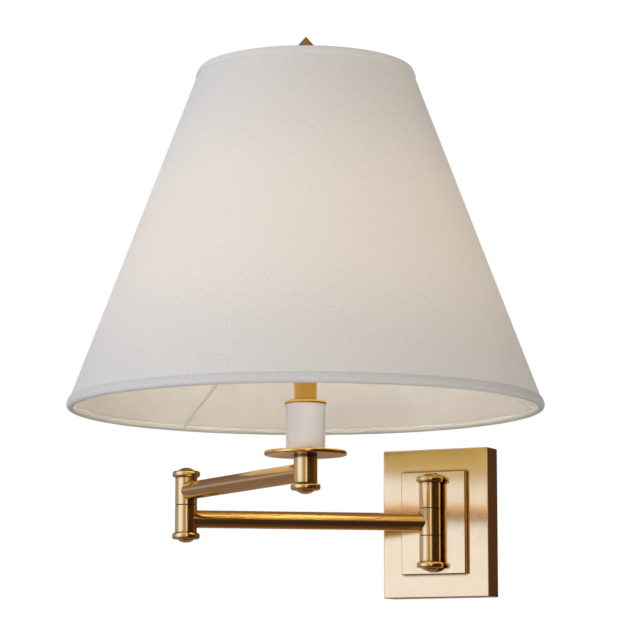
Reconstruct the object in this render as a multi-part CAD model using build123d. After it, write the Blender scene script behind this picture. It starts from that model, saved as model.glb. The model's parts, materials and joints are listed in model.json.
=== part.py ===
from build123d import *
import math
import os

# Swing arm wall sconce: a two-part hollow backplate, two equal swing arms on vertical barrel
# hinges, and a lamp head with a candle sleeve, a harp and a tapered fabric drum shade.
#
# Millimetres. X runs right along the wall, +Y runs into the wall, Z is up. The origin is the
# centre of the backplate, on the wall plane (Y = 0), so the lamp stands out towards -Y.

# --- Driving dimensions ---------------------------------------------------------------------

# backplate
COVER_W, COVER_H, COVER_D = 92.0, 120.0, 20.0
COVER_WALL = 1.6
COVER_EDGE = 0.8
RAISED_W, RAISED_H, RAISED_D = 56.0, 83.0, 5.0
RAISED_CHAMFER = 0.6
CROSSBAR_W, CROSSBAR_H, CROSSBAR_T = 22.0, 112.0, 2.0
CROSSBAR_FLANGE = 12.0
BOX_SCREW_SPACING = 88.9
BOX_SLOT_R, BOX_SLOT_LENGTH = 2.5, 12.0
CROSSBAR_WIRE_R = 5.0
PLATE_SCREW_X, PLATE_SCREW_Z = 21.0, 35.0
PLATE_SCREW_R, PLATE_SCREW_DEPTH = 1.5, 3.5
SCREW_HEAD_R, SCREW_HEAD_T = 2.8, 2.0
GRUB_R, GRUB_FROM_BEND = 2.0, 4.0
GROUND_SCREW_Z, GROUND_SCREW_R = 20.0, 2.0
GROUND_HEAD_R, GROUND_HEAD_T = 4.0, 3.0
DRIVER_SLOT_W = 0.8
BARREL_GAP, CAP_GAP = 0.4, 0.2

# barrel hinges
BARREL_R = 8.7
KNUCKLE_LENGTH = 22.0
KNUCKLE_CHAMFER = 0.3
PIN_R, PIN_BORE_R = 5.0, 3.5
BUSHING_R = 6.0
RUNNING_FIT = 0.05
FACE_GAP = 0.05
WASHER_R, WASHER_T = 7.6, 0.3
CAP_RIM_R, CAP_RIM_T, CAP_RIM_FILLET = 11.0, 5.0, 1.9
CAP_DOME_R, CAP_DOME_H = 7.0, 2.8
CAP_BORE_DEPTH = 4.0
WIRE_HOLE_R = 3.0

# arms
ARM_LENGTH = 198.0
ARM_ANGLE = 35.7
ARM_R, ARM_BORE_R = 7.0, 5.5
PIVOT_STANDOFF = 31.5
WALL_BARREL_END = 32.0
WIRE_R, WIRE_GAP = 1.1, 0.1

# lamp head, heights above the middle of the backplate
HEAD_FACE_Z = 13.6
COLLAR_T = 0.8
DISC_R, DISC_T = 30.3, 3.2
EDGE_ROUND = 1.1
STEP_H, STEP_FIT = 1.5, 0.05
SLEEVE_R, SLEEVE_WALL = 14.4, 1.5
SLEEVE_TOP = 71.5
RING_R, RING_T = 15.4, 2.7
STEM_R, STEM_BORE_R = 8.5, 7.0
SADDLE_Z, SADDLE_T, SADDLE_WIDTH, UPRIGHT_WIDTH = 103.0, 1.5, 12.0, 8.0
POST_Z, POST_TOP = 122.0, 130.0
FERRULE_R, FERRULE_LOW, FERRULE_HIGH = 3.2, 124.0, 137.0
HARP_FOOT_X, HARP_WIDE_X, HARP_CROWN_X, HARP_WIRE_R = 24.25, 58.0, 10.0, 1.6
HARP_FOOT_Z, HARP_WIDE_LOW, HARP_WIDE_HIGH, HARP_TOP_Z = 143.0, 172.0, 238.0, 305.0
HARP_BENDS = (14.0, 26.0, 48.0, 8.0)
BOSS_R, STUD_R, STUD_TOP = 5.0, 3.0, 318.0
SOCKET_R, SOCKET_TOP, SOCKET_METAL_T = 17.5, 150.0, 1.0
SOCKET_CAP_H, SOCKET_CAP_FOOT_R, SOCKET_CAP_DISH = 15.0, 9.0, 8.0
LINER_LOW, LINER_HIGH, LINER_WALL = 113.5, 155.0, 1.2
SOCKET_BASE_Z, SCREW_SHELL_Z, SCREW_SHELL_TOP = 114.0, 122.0, 151.0
SCREW_SHELL_R, SCREW_SHELL_BORE_R = 13.7, 13.3
CONTACT_R, CONTACT_T = 4.0, 1.0
FITTER_COLLAR_R, FITTER_COLLAR_Z = 21.5, 146.0
BULB_R, BULB_CENTRE_Z, BULB_NECK_R, BULB_NECK_Z = 30.0, 214.0, 13.3, 152.0
BULB_GLASS_T, BULB_NECK_LENGTH = 1.0, 8.0
BULB_CAP_R = 13.1

# shade, measured on the outer face of the fabric
SHADE_BOTTOM_R, SHADE_BOTTOM_Z = 174.9, 68.1
SHADE_TOP_R, SHADE_TOP_Z = 79.3, 321.8
FABRIC_T, LINING_T, SHADE_WIRE_R = 0.5, 1.0, 1.5
TRIM_T, TRIM_BAND, TRIM_TURN_IN, TRIM_ROUND = 0.9, 8.0, 5.0, 1.4
FITTER_WIRE_R, FITTER_HUB_R, FITTER_HUB_Z, FITTER_RISE = 1.1, 20.0, 157.0, 1.0
FITTER_ANGLES = (30, 150, 270)
SPIDER_ANGLES = (90, 210, 330)
SPIDER_Z, SPIDER_HUB_R, SPIDER_HUB_T, SPIDER_BORE_R = 308.0, 10.0, 1.5, 3.2
FINIAL_FOOT_R, FINIAL_WAIST_R, FINIAL_BEAD_R, FINIAL_NECK_R, FINIAL_R = 5.2, 3.9, 6.2, 4.8, 8.3
FINIAL_WIDE_Z, FINIAL_TIP_Z, FINIAL_BORE_TOP = 340.2, 348.2, 320.0

# --- Values worked out from them ------------------------------------------------------------

FRONT_Y = -COVER_D
RAISED_Y = FRONT_Y - RAISED_D
ARM_REACH_X = ARM_LENGTH * math.cos(math.radians(ARM_ANGLE))
ARM_REACH_Y = ARM_LENGTH * math.sin(math.radians(ARM_ANGLE))
WALL_AXIS = (0.0, -PIVOT_STANDOFF)
ELBOW_AXIS = (-ARM_REACH_X, -PIVOT_STANDOFF - ARM_REACH_Y)
HEAD_AXIS = (0.0, -PIVOT_STANDOFF - 2 * ARM_REACH_Y)
HALF_KNUCKLE = KNUCKLE_LENGTH / 2
UPPER_Z = KNUCKLE_LENGTH
BARREL_TOP = UPPER_Z + HALF_KNUCKLE
HALF_WASHER = WASHER_T / 2
MOVING_LOW = HALF_KNUCKLE + HALF_WASHER + FACE_GAP
MOVING_HIGH = BARREL_TOP - FACE_GAP
COLLAR_Z = BARREL_TOP + WASHER_T
DISC_Z = COLLAR_Z + COLLAR_T
SLEEVE_Z = DISC_Z + DISC_T
STEM_Z = SLEEVE_TOP + RING_T
SADDLE_TOP = SADDLE_Z + SADDLE_T
SPINDLE_TOP = SADDLE_TOP + 5.0
CAP_TOP = SADDLE_TOP + SOCKET_CAP_H
GRUB_Y = -CROSSBAR_FLANGE + GRUB_FROM_BEND
STEP_R = SLEEVE_R - SLEEVE_WALL - STEP_FIT
CONE_TILT = math.atan2(SHADE_BOTTOM_R - SHADE_TOP_R, SHADE_TOP_Z - SHADE_BOTTOM_Z)
SLANT = math.hypot(SHADE_BOTTOM_R - SHADE_TOP_R, SHADE_TOP_Z - SHADE_BOTTOM_Z)
SHADE_WALL = FABRIC_T + LINING_T
ON_BOTTOM = (Align.CENTER, Align.CENTER, Align.MIN)

parts = {}


# --- Shapes used more than once -------------------------------------------------------------

def rod(radius, z_low, z_high, at=(0, 0)):
    """Solid upright cylinder."""
    return Pos(at[0], at[1], z_low) * Cylinder(radius, z_high - z_low, align=ON_BOTTOM)


def pipe(outer, inner, z_low, z_high, at=(0, 0)):
    """Upright tube."""
    return rod(outer, z_low, z_high, at) - rod(inner, z_low, z_high, at)


def bar(start, end, radius):
    """Round bar between two points."""
    run = Vector(*end) - Vector(*start)
    return Plane(origin=start, z_dir=run) * Cylinder(radius, run.length, align=ON_BOTTOM)


def block(x, y, z):
    """Box given by its low and high limits on each axis."""
    size = [high - low for low, high in (x, y, z)]
    return Pos(x[0], y[0], z[0]) * Box(*size, align=(Align.MIN, Align.MIN, Align.MIN))


def turned(points, at=(0, 0)):
    """Solid of revolution about an upright axis from a closed (radius, height) outline."""
    outline = make_face(Plane.XZ * Polyline(*points, close=True))
    return Pos(at[0], at[1], 0) * revolve(outline, Axis.Z)


def bent_wire(points, radii, radius):
    """Round wire along straight runs joined by arcs."""
    path = FilletPolyline(*points, radius=radii)
    return sweep(Plane(origin=path @ 0, z_dir=path % 0) * Circle(radius), path=path)


def polar(radius, degrees, z, at=HEAD_AXIS):
    """Point at a radius and an angle from +X about an upright axis."""
    turn = math.radians(degrees)
    return (at[0] + radius * math.cos(turn), at[1] + radius * math.sin(turn), z)


def side_hole(at, z, degrees, radius=WIRE_HOLE_R):
    """Cutter for a wire hole that runs outwards from a hinge axis."""
    return bar((at[0], at[1], z), polar(2 * BARREL_R, degrees, z, at), radius)


def knuckle(z_low, z_high, bore, at):
    """One length of hinge barrel with a small chamfer at both ends."""
    body = rod(BARREL_R, z_low, z_high, at)
    body = chamfer(body.edges().filter_by(GeomType.CIRCLE), KNUCKLE_CHAMFER)
    return body - rod(bore, z_low, z_high, at)


def hinge_cap(z_face, direction, at):
    """Rounded cap with a low dome, screwed on a pin's end. direction is 1 for up, -1 for down."""
    rim = Cylinder(CAP_RIM_R, CAP_RIM_T, align=ON_BOTTOM)
    rim = fillet(rim.edges().filter_by(GeomType.CIRCLE), CAP_RIM_FILLET)
    ball_r = (CAP_DOME_R ** 2 + CAP_DOME_H ** 2) / (2 * CAP_DOME_H)
    ball = Pos(0, 0, CAP_RIM_T + CAP_DOME_H - ball_r) * Sphere(ball_r)
    dome = ball & Pos(0, 0, CAP_RIM_T) * Cylinder(CAP_DOME_R + 1, CAP_DOME_H + 1, align=ON_BOTTOM)
    cap = rim + dome - Cylinder(PIN_R, CAP_BORE_DEPTH, align=ON_BOTTOM)
    if direction < 0:
        cap = mirror(cap, Plane.XY)
    return Pos(at[0], at[1], z_face) * cap


def hinge_pin(z_low, z_high, at):
    """Hollow pin, through which the wires pass."""
    return pipe(PIN_R, PIN_BORE_R, z_low, z_high, at)


def bushing(z_low, z_high, at, wire_z, degrees):
    """Bearing sleeve pressed into a moving knuckle, with a hole for the wires."""
    body = pipe(BUSHING_R, PIN_R + RUNNING_FIT, z_low, z_high, at)
    return body - side_hole(at, wire_z, degrees)


def washer(z_low, at):
    """Thin bearing washer between two barrels."""
    return pipe(WASHER_R, PIN_R, z_low, z_low + WASHER_T, at)


def arm_tube(start, end, z):
    """Round tube between two hinge barrels, with its ends coped to them."""
    a = (*start, z)
    b = (*end, z)
    tube = bar(a, b, ARM_R) - bar(a, b, ARM_BORE_R)
    for at in (start, end):
        tube -= rod(BARREL_R, z - HALF_KNUCKLE, z + HALF_KNUCKLE, at)
    return tube


def arm_wires(start, end, z):
    """Two wires that lie on the floor of an arm tube, from barrel to barrel."""
    run = (Vector(*end, 0) - Vector(*start, 0)).normalized()
    across = Vector(-run.Y, run.X, 0) * (WIRE_R + WIRE_GAP)
    drop = math.sqrt((ARM_BORE_R - WIRE_R) ** 2 - across.length ** 2)
    wires = []
    for side in (1, -1):
        first = Vector(*start, z - drop) + run * (BARREL_R + 1) + across * side
        last = Vector(*end, z - drop) - run * (BARREL_R + 1) + across * side
        wires.append(bar(tuple(first), tuple(last), WIRE_R - 0.02))
    return Compound(children=wires)


def half_window(at, z, degrees):
    """Cutter that opens half of a pin over one wire hole's height."""
    turn = Pos(at[0], at[1], z) * Rot(0, 0, degrees)
    return turn * Box(2 * PIN_R, 4 * PIN_R, 2 * WIRE_HOLE_R, align=(Align.MIN, Align.CENTER, Align.CENTER))


def wall_point(along, inward):
    """(radius, height) of a point a distance up the shade's slant and inward from the fabric's face."""
    sin_t, cos_t = math.sin(CONE_TILT), math.cos(CONE_TILT)
    radius = SHADE_BOTTOM_R - along * sin_t - inward * cos_t
    return (radius, SHADE_BOTTOM_Z + along * cos_t - inward * sin_t)


def shade_layer(inward, thickness):
    """Conical sheet at a depth inside the fabric's outer face."""
    corners = [(0, inward), (SLANT, inward), (SLANT, inward + thickness), (0, inward + thickness)]
    return turned([wall_point(*c) for c in corners], HEAD_AXIS)


def shade_ring(along):
    """Round wire hoop glued inside the lining."""
    radius, z = wall_point(along, SHADE_WALL + SHADE_WIRE_R)
    return Pos(HEAD_AXIS[0], HEAD_AXIS[1], z) * Torus(radius, SHADE_WIRE_R)


def trim_band(edge, direction):
    """Fabric band folded over one edge of the shade and the wire inside it."""
    inner = SHADE_WALL + 2 * SHADE_WIRE_R
    outline = [
        (TRIM_BAND, -TRIM_T), (-TRIM_T, -TRIM_T), (-TRIM_T, inner + TRIM_T), (TRIM_TURN_IN, inner + TRIM_T),
        (TRIM_TURN_IN, inner), (0, inner), (0, 0), (TRIM_BAND, 0),
    ]
    corners = [wall_point(edge + direction * along, inward) for along, inward in outline]
    face = make_face(Plane.XZ * Polyline(*corners, close=True))
    folds = [wall_point(edge - direction * TRIM_T, d) for d in (-TRIM_T, inner + TRIM_T)]
    corners = [v for v in face.vertices() if min(math.dist((v.X, v.Z), f) for f in folds) < 0.01]
    face = fillet(corners, TRIM_ROUND)
    return Pos(HEAD_AXIS[0], HEAD_AXIS[1], 0) * revolve(face, Axis.Z)


# --- Backplate ------------------------------------------------------------------------------

def backplate_cover():
    """Hollow rectangular cover, open towards the wall."""
    half_w, half_h = COVER_W / 2, COVER_H / 2
    outer = block((-half_w, half_w), (FRONT_Y, 0), (-half_h, half_h))
    outer = fillet(outer.edges().filter_by(Axis.Y) + outer.faces().sort_by(Axis.Y)[0].edges(), COVER_EDGE)
    in_w, in_h = half_w - COVER_WALL, half_h - COVER_WALL
    cover = outer - block((-in_w, in_w), (FRONT_Y + COVER_WALL, 0), (-in_h, in_h))
    for x in (-PLATE_SCREW_X, PLATE_SCREW_X):
        for z in (-PLATE_SCREW_Z, PLATE_SCREW_Z):
            cover -= bar((x, FRONT_Y, z), (x, FRONT_Y + COVER_WALL, z), PLATE_SCREW_R)
    cover -= bar((0, FRONT_Y, UPPER_Z), (0, FRONT_Y + COVER_WALL, UPPER_Z), WIRE_HOLE_R)
    return cover - bar((0, GRUB_Y, -half_h), (0, GRUB_Y, half_h), GRUB_R)


def raised_plate():
    """Smaller plate on the cover's front, hollowed for the hinge barrel and its caps."""
    half_w, half_h = RAISED_W / 2, RAISED_H / 2
    plate = block((-half_w, half_w), (RAISED_Y, FRONT_Y), (-half_h, half_h))
    plate = chamfer(plate.faces().sort_by(Axis.Y)[0].edges(), RAISED_CHAMFER)
    plate -= rod(BARREL_R, -WALL_BARREL_END, WALL_BARREL_END, WALL_AXIS)
    plate -= rod(BARREL_R + BARREL_GAP, -HALF_KNUCKLE - HALF_WASHER, HALF_KNUCKLE + HALF_WASHER, WALL_AXIS)
    for side in (1, -1):
        rim_end = WALL_BARREL_END + CAP_RIM_T + CAP_GAP
        rim = sorted((side * WALL_BARREL_END, side * rim_end))
        dome = sorted((side * WALL_BARREL_END, side * (rim_end + CAP_DOME_H)))
        plate -= rod(CAP_RIM_R + BARREL_GAP, *rim, WALL_AXIS)
        plate -= rod(CAP_DOME_R + BARREL_GAP, *dome, WALL_AXIS)
    for x in (-PLATE_SCREW_X, PLATE_SCREW_X):
        for z in (-PLATE_SCREW_Z, PLATE_SCREW_Z):
            plate -= bar((x, FRONT_Y, z), (x, FRONT_Y - PLATE_SCREW_DEPTH, z), PLATE_SCREW_R)
    return plate - bar((0, FRONT_Y, UPPER_Z), (0, RAISED_Y, UPPER_Z), WIRE_HOLE_R)


def mounting_crossbar():
    """Steel strap that is screwed to the wall box. Its bent ends hold the cover."""
    half_w, half_h = CROSSBAR_W / 2, CROSSBAR_H / 2
    bar_body = block((-half_w, half_w), (-CROSSBAR_T, 0), (-half_h, half_h))
    for side in (1, -1):
        bent = sorted((side * half_h, side * (half_h - CROSSBAR_T)))
        bar_body += block((-half_w, half_w), (-CROSSBAR_FLANGE, 0), bent)
    for z in (-BOX_SCREW_SPACING / 2, BOX_SCREW_SPACING / 2):
        slot = SlotOverall(BOX_SLOT_LENGTH, 2 * BOX_SLOT_R, rotation=90)
        bar_body -= extrude(Plane(origin=(0, 0, z), x_dir=(1, 0, 0), z_dir=(0, -1, 0)) * slot, CROSSBAR_T)
    bar_body -= bar((0, -CROSSBAR_T, 0), (0, 0, 0), CROSSBAR_WIRE_R)
    bar_body -= bar((0, -CROSSBAR_T, GROUND_SCREW_Z), (0, 0, GROUND_SCREW_Z), GROUND_SCREW_R)
    return bar_body - bar((0, GRUB_Y, -half_h), (0, GRUB_Y, half_h), GRUB_R)


def cover_grub_screws():
    """Two grub screws through the cover's top and bottom into the crossbar's bent ends."""
    inner = CROSSBAR_H / 2 - CROSSBAR_T - 1
    outer = COVER_H / 2 - 0.2
    slot_depth = (GRUB_Y - DRIVER_SLOT_W / 2, GRUB_Y + DRIVER_SLOT_W / 2)
    screws = []
    for side in (1, -1):
        screw = bar((0, GRUB_Y, side * inner), (0, GRUB_Y, side * outer), GRUB_R)
        slot = block((-GRUB_R, GRUB_R), slot_depth, sorted((side * (outer - 1), side * outer)))
        screws.append(screw - slot)
    return Compound(children=screws)


def raised_plate_screws():
    """Four screws from inside the cover into the raised plate."""
    inside = FRONT_Y + COVER_WALL
    head = inside + SCREW_HEAD_T
    tip = FRONT_Y - PLATE_SCREW_DEPTH + 0.1
    screws = []
    for x in (-PLATE_SCREW_X, PLATE_SCREW_X):
        for z in (-PLATE_SCREW_Z, PLATE_SCREW_Z):
            screw = bar((x, inside, z), (x, head, z), SCREW_HEAD_R)
            screw += bar((x, tip, z), (x, inside, z), PLATE_SCREW_R)
            slot = (z - DRIVER_SLOT_W / 2, z + DRIVER_SLOT_W / 2)
            screws.append(screw - block((x - 2, x + 2), (head - DRIVER_SLOT_W, head), slot))
    return Compound(children=screws)


def ground_screw():
    """Earth screw on the crossbar."""
    seat = (0, -CROSSBAR_T, GROUND_SCREW_Z)
    head = bar(seat, (0, -CROSSBAR_T - GROUND_HEAD_T, GROUND_SCREW_Z), GROUND_HEAD_R)
    return head + bar(seat, (0, -0.1, GROUND_SCREW_Z), GROUND_SCREW_R)


parts["backplate_cover"] = backplate_cover()
parts["raised_plate"] = raised_plate()
parts["mounting_crossbar"] = mounting_crossbar()
parts["cover_grub_screws"] = cover_grub_screws()
parts["raised_plate_screws"] = raised_plate_screws()
parts["ground_screw"] = ground_screw()

# --- Wall hinge: two fixed knuckles with the lower arm's knuckle between them -----------------

fixed_low = HALF_KNUCKLE + HALF_WASHER
upper = knuckle(fixed_low, WALL_BARREL_END, PIN_R, WALL_AXIS)
parts["wall_knuckle_upper"] = upper - side_hole(WALL_AXIS, UPPER_Z, 90)
parts["wall_knuckle_lower"] = knuckle(-WALL_BARREL_END, -fixed_low, PIN_R, WALL_AXIS)
pin_reach = WALL_BARREL_END + CAP_BORE_DEPTH
wall_pin = hinge_pin(-pin_reach, pin_reach, WALL_AXIS)
parts["wall_hinge_pin"] = wall_pin - side_hole(WALL_AXIS, UPPER_Z, 90) - half_window(WALL_AXIS, 0, -90)
parts["wall_hinge_washers"] = Compound(
    children=[washer(HALF_KNUCKLE - HALF_WASHER, WALL_AXIS), washer(-HALF_KNUCKLE - HALF_WASHER, WALL_AXIS)]
)
parts["wall_cap_top"] = hinge_cap(WALL_BARREL_END, 1, WALL_AXIS)
parts["wall_cap_bottom"] = hinge_cap(-WALL_BARREL_END, -1, WALL_AXIS)

# --- Lower arm ------------------------------------------------------------------------------

outward = 180 + ARM_ANGLE
half_moving = HALF_KNUCKLE - HALF_WASHER - FACE_GAP
parts["lower_arm_tube"] = arm_tube(WALL_AXIS, ELBOW_AXIS, 0)
arm_knuckle = knuckle(-half_moving, half_moving, BUSHING_R, WALL_AXIS)
parts["lower_arm_wall_knuckle"] = arm_knuckle - side_hole(WALL_AXIS, 0, outward)
parts["wall_hinge_bushing"] = bushing(-half_moving, half_moving, WALL_AXIS, 0, outward)
elbow_top = HALF_KNUCKLE - HALF_WASHER
elbow_knuckle = knuckle(-HALF_KNUCKLE, elbow_top, PIN_R, ELBOW_AXIS)
parts["lower_arm_elbow_knuckle"] = elbow_knuckle - side_hole(ELBOW_AXIS, 0, ARM_ANGLE)
elbow_pin = hinge_pin(-HALF_KNUCKLE - CAP_BORE_DEPTH, BARREL_TOP + CAP_BORE_DEPTH, ELBOW_AXIS)
elbow_pin -= side_hole(ELBOW_AXIS, 0, ARM_ANGLE)
parts["elbow_pin"] = elbow_pin - half_window(ELBOW_AXIS, UPPER_Z, outward)
parts["elbow_washer"] = washer(elbow_top, ELBOW_AXIS)
parts["elbow_cap_top"] = hinge_cap(BARREL_TOP, 1, ELBOW_AXIS)
parts["elbow_cap_bottom"] = hinge_cap(-HALF_KNUCKLE, -1, ELBOW_AXIS)
parts["lower_arm_wires"] = arm_wires(WALL_AXIS, ELBOW_AXIS, 0)

# --- Upper arm ------------------------------------------------------------------------------

parts["upper_arm_tube"] = arm_tube(ELBOW_AXIS, HEAD_AXIS, UPPER_Z)
upper_arm_ends = (
    ("elbow", ELBOW_AXIS, MOVING_LOW, -ARM_ANGLE),
    ("head", HEAD_AXIS, HEAD_FACE_Z + FACE_GAP, 180 - ARM_ANGLE),
)
for place, at, low, facing in upper_arm_ends:
    end_knuckle = knuckle(low, MOVING_HIGH, BUSHING_R, at)
    parts[f"upper_arm_{place}_knuckle"] = end_knuckle - side_hole(at, UPPER_Z, facing)
    parts[f"{place}_bushing"] = bushing(low, MOVING_HIGH, at, UPPER_Z, facing)
parts["upper_arm_wires"] = arm_wires(ELBOW_AXIS, HEAD_AXIS, UPPER_Z)

# --- Lamp head: spindle, cap and the stack clamped on it --------------------------------------

spindle = hinge_pin(HEAD_FACE_Z - CAP_BORE_DEPTH, SPINDLE_TOP, HEAD_AXIS)
parts["head_spindle"] = spindle - half_window(HEAD_AXIS, UPPER_Z, 180 - ARM_ANGLE)
parts["head_cap"] = hinge_cap(HEAD_FACE_Z, -1, HEAD_AXIS)
parts["head_washer"] = washer(BARREL_TOP, HEAD_AXIS)
parts["head_collar"] = pipe(BARREL_R, PIN_R, COLLAR_Z, DISC_Z, HEAD_AXIS)


def drip_disc():
    """Round dish with a rounded edge and a low step that centres the sleeve."""
    disc = Cylinder(DISC_R, DISC_T, align=ON_BOTTOM)
    disc = fillet(disc.edges().filter_by(GeomType.CIRCLE), EDGE_ROUND)
    disc = Pos(*HEAD_AXIS, DISC_Z) * disc
    disc += rod(STEP_R, SLEEVE_Z, SLEEVE_Z + STEP_H, HEAD_AXIS)
    return disc - rod(PIN_R, DISC_Z, SLEEVE_Z + STEP_H, HEAD_AXIS)


def sleeve_ring():
    """Ring on top of the candle sleeve, with a step that fits inside it."""
    ring = Cylinder(RING_R, RING_T, align=ON_BOTTOM)
    ring = fillet(ring.edges().filter_by(GeomType.CIRCLE), EDGE_ROUND)
    ring = Pos(*HEAD_AXIS, SLEEVE_TOP) * ring
    ring += rod(STEP_R, SLEEVE_TOP - STEP_H, SLEEVE_TOP, HEAD_AXIS)
    return ring - rod(PIN_R, SLEEVE_TOP - STEP_H, STEM_Z, HEAD_AXIS)


parts["drip_disc"] = drip_disc()
parts["candle_sleeve"] = pipe(SLEEVE_R, SLEEVE_R - SLEEVE_WALL, SLEEVE_Z, SLEEVE_TOP, HEAD_AXIS)
parts["sleeve_ring"] = sleeve_ring()
parts["stem_tube"] = pipe(STEM_R, STEM_BORE_R, STEM_Z, SADDLE_Z, HEAD_AXIS)
stem_wires = [
    rod(WIRE_R - 0.02, UPPER_Z, SPINDLE_TOP, (HEAD_AXIS[0] + side * (PIN_BORE_R - WIRE_R), HEAD_AXIS[1]))
    for side in (1, -1)
]
parts["stem_wires"] = Compound(children=stem_wires)

# --- Harp and socket --------------------------------------------------------------------------

HEAD_X, HEAD_Y = HEAD_AXIS


def harp_saddle():
    """U-shaped strap clamped under the socket, with a post at each end for the harp."""
    half_x, half_y = HARP_FOOT_X + SADDLE_T / 2, SADDLE_WIDTH / 2
    depth = (HEAD_Y - half_y, HEAD_Y + half_y)
    saddle = block((HEAD_X - half_x, HEAD_X + half_x), depth, (SADDLE_Z, SADDLE_TOP))
    for side in (1, -1):
        upright = sorted((HEAD_X + side * half_x, HEAD_X + side * (half_x - SADDLE_T)))
        saddle += block(upright, (HEAD_Y - UPRIGHT_WIDTH / 2, HEAD_Y + UPRIGHT_WIDTH / 2), (SADDLE_Z, POST_Z))
        saddle += rod(HARP_WIRE_R, POST_Z, POST_TOP, (HEAD_X + side * HARP_FOOT_X, HEAD_Y))
    return saddle - rod(PIN_R, SADDLE_Z, SADDLE_TOP, HEAD_AXIS)


def harp():
    """Bowed wire loop with a threaded stud on top, which carries the shade."""
    half = [(HARP_FOOT_X, POST_TOP), (HARP_FOOT_X, HARP_FOOT_Z), (HARP_WIDE_X, HARP_WIDE_LOW)]
    half += [(HARP_WIDE_X, HARP_WIDE_HIGH), (HARP_CROWN_X, HARP_TOP_Z)]
    outline = half + [(-x, z) for x, z in reversed(half)]
    radii = [*HARP_BENDS, *reversed(HARP_BENDS)]
    loop = bent_wire([(HEAD_X + x, HEAD_Y, z) for x, z in outline], radii, HARP_WIRE_R)
    boss = rod(BOSS_R, HARP_TOP_Z - 3, SPIDER_Z - SPIDER_HUB_T / 2, HEAD_AXIS)
    return loop + boss + rod(STUD_R, HARP_TOP_Z, STUD_TOP, HEAD_AXIS)


parts["harp_saddle"] = harp_saddle()
parts["harp"] = harp()
parts["harp_ferrules"] = Compound(
    children=[
        pipe(FERRULE_R, HARP_WIRE_R, FERRULE_LOW, FERRULE_HIGH, (HEAD_X + side * HARP_FOOT_X, HEAD_Y))
        for side in (1, -1)
    ]
)


def socket_cap():
    """Dished metal cap at the bottom of the socket."""
    low, wide = SADDLE_TOP, SADDLE_TOP + SOCKET_CAP_DISH
    inner = SOCKET_R - SOCKET_METAL_T
    floor = low + SOCKET_METAL_T
    outline = [(PIN_R, low), (SOCKET_CAP_FOOT_R, low), (SOCKET_R, wide), (SOCKET_R, CAP_TOP)]
    outline += [(inner, CAP_TOP), (inner, wide + 0.6), (SOCKET_CAP_FOOT_R - 0.4, floor), (PIN_R, floor)]
    return turned(outline, HEAD_AXIS)


LINER_R = SOCKET_R - SOCKET_METAL_T
SOCKET_BORE_R = LINER_R - LINER_WALL
CONTACT_TOP = SCREW_SHELL_Z + CONTACT_T
parts["socket_cap"] = socket_cap()
parts["socket_shell"] = pipe(SOCKET_R, LINER_R, CAP_TOP, SOCKET_TOP, HEAD_AXIS)
parts["socket_liner"] = pipe(LINER_R, SOCKET_BORE_R, LINER_LOW, LINER_HIGH, HEAD_AXIS)
parts["socket_base"] = rod(SOCKET_BORE_R, SOCKET_BASE_Z, SCREW_SHELL_Z, HEAD_AXIS)
screw_shell = pipe(SCREW_SHELL_R, SCREW_SHELL_BORE_R, SCREW_SHELL_Z, SCREW_SHELL_TOP, HEAD_AXIS)
parts["socket_screw_shell"] = screw_shell
parts["socket_contact"] = rod(CONTACT_R, SCREW_SHELL_Z, CONTACT_TOP, HEAD_AXIS)
collar_top = FITTER_HUB_Z - SHADE_WIRE_R
parts["fitter_collar"] = pipe(FITTER_COLLAR_R, SOCKET_R, FITTER_COLLAR_Z, collar_top, HEAD_AXIS)

# --- Bulb -------------------------------------------------------------------------------------


def bulb_body(shrink):
    """Globe with a neck that flares to meet it smoothly, made smaller all over by shrink."""
    ball_r = BULB_R - shrink
    neck_r = BULB_NECK_R - shrink
    flare_z = BULB_NECK_Z + BULB_NECK_LENGTH
    rise = BULB_CENTRE_Z - flare_z
    reach = math.hypot(neck_r, rise)
    lean = math.asin(ball_r / reach) - math.atan2(neck_r, rise)
    length = math.sqrt(reach ** 2 - ball_r ** 2)
    touch = (neck_r + length * math.sin(lean), flare_z + length * math.cos(lean))
    low = BULB_NECK_Z + shrink
    neck = turned([(0, low), (neck_r, low), (neck_r, flare_z), touch, (0, touch[1])], HEAD_AXIS)
    return neck + Pos(*HEAD_AXIS, BULB_CENTRE_Z) * Sphere(ball_r)


def bulb_cap():
    """Screw cap of the bulb with its insulator and tip."""
    outline = [(0, CONTACT_TOP), (3.5, CONTACT_TOP), (5, CONTACT_TOP + 2), (BULB_CAP_R, CONTACT_TOP + 6)]
    outline += [(BULB_CAP_R, BULB_NECK_Z), (0, BULB_NECK_Z)]
    return turned(outline, HEAD_AXIS)


parts["bulb_cap"] = bulb_cap()
parts["bulb_glass"] = bulb_body(0) - bulb_body(BULB_GLASS_T)

# --- Shade ------------------------------------------------------------------------------------

bottom_ring = shade_ring(SHADE_WIRE_R)
top_ring = shade_ring(SLANT - SHADE_WIRE_R)
parts["shade_fabric"] = shade_layer(0, FABRIC_T)
parts["shade_lining"] = shade_layer(FABRIC_T, LINING_T)
parts["bottom_ring"] = bottom_ring
parts["top_ring"] = top_ring


def lower_fitter():
    """Hub ring on the socket's collar, joined by straight wires to the shade's bottom hoop."""
    hoop_r, hoop_z = wall_point(SHADE_WIRE_R, SHADE_WALL + SHADE_WIRE_R)
    fitter = Pos(*HEAD_AXIS, FITTER_HUB_Z) * Torus(FITTER_HUB_R, SHADE_WIRE_R)
    for angle in FITTER_ANGLES:
        inner = polar(FITTER_HUB_R, angle, FITTER_HUB_Z + FITTER_RISE)
        fitter += bar(polar(hoop_r, angle, hoop_z), inner, FITTER_WIRE_R)
    return fitter - bottom_ring


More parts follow.
